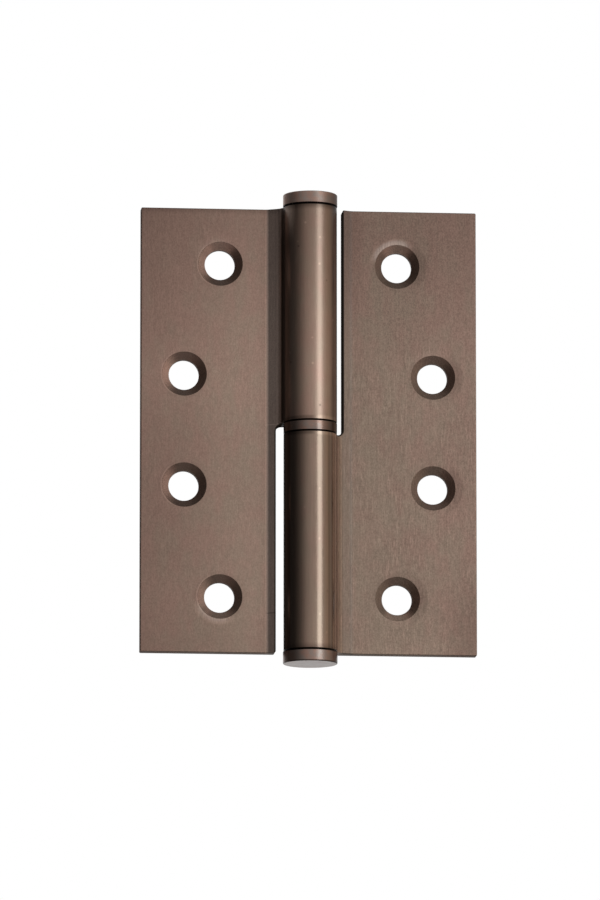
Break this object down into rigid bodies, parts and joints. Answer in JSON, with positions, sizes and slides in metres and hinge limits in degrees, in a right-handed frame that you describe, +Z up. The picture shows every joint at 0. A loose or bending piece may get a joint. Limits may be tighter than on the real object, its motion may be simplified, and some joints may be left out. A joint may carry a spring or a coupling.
{
  "type": "lift-off hinge",
  "caption": "Lift-off butt hinge in dark bronzed brass: the door leaf swings on a fixed steel pin and lifts off it upwards.",
  "frame": {"origin": "on the pin's axis, midway between the ends of the knuckles, which is the centre of the box of the whole hinge lying open flat", "axes": "+Z up along the pin, the way the door leaf lifts off; +X from the pin into the frame leaf; +Y from the countersunk faces to the backs of the leaves, into the door and the frame"},
  "size_m": [0.075, 0.012, 0.1056],
  "materials": {
    "bronzed_brass_leaf": "dark bronze, satin brushed along the height",
    "bronzed_brass_turned": "dark bronze, satin turned",
    "pin_steel": "ground steel with a film of oil"
  },
  "bodies": {
    "frame_half": {"frame_leaf": "bronzed_brass_leaf", "pin": "pin_steel", "bottom_cap": "bronzed_brass_turned"},
    "washer_ring": {"washer": "bronzed_brass_turned"},
    "door_half": {"door_leaf": "bronzed_brass_leaf", "top_cap": "bronzed_brass_turned"}
  },
  "joints": [
    {"name": "swing", "type": "hinge", "parent": "frame_half", "child": "washer_ring", "pos_m": [0, 0, 0], "axis": [0, 0, 1], "range_deg": [-90, 180]},
    {"name": "lift_off", "type": "slide", "parent": "washer_ring", "child": "door_half", "axis": [0, 0, 1], "range_m": [0, 0.04]}
  ]
}
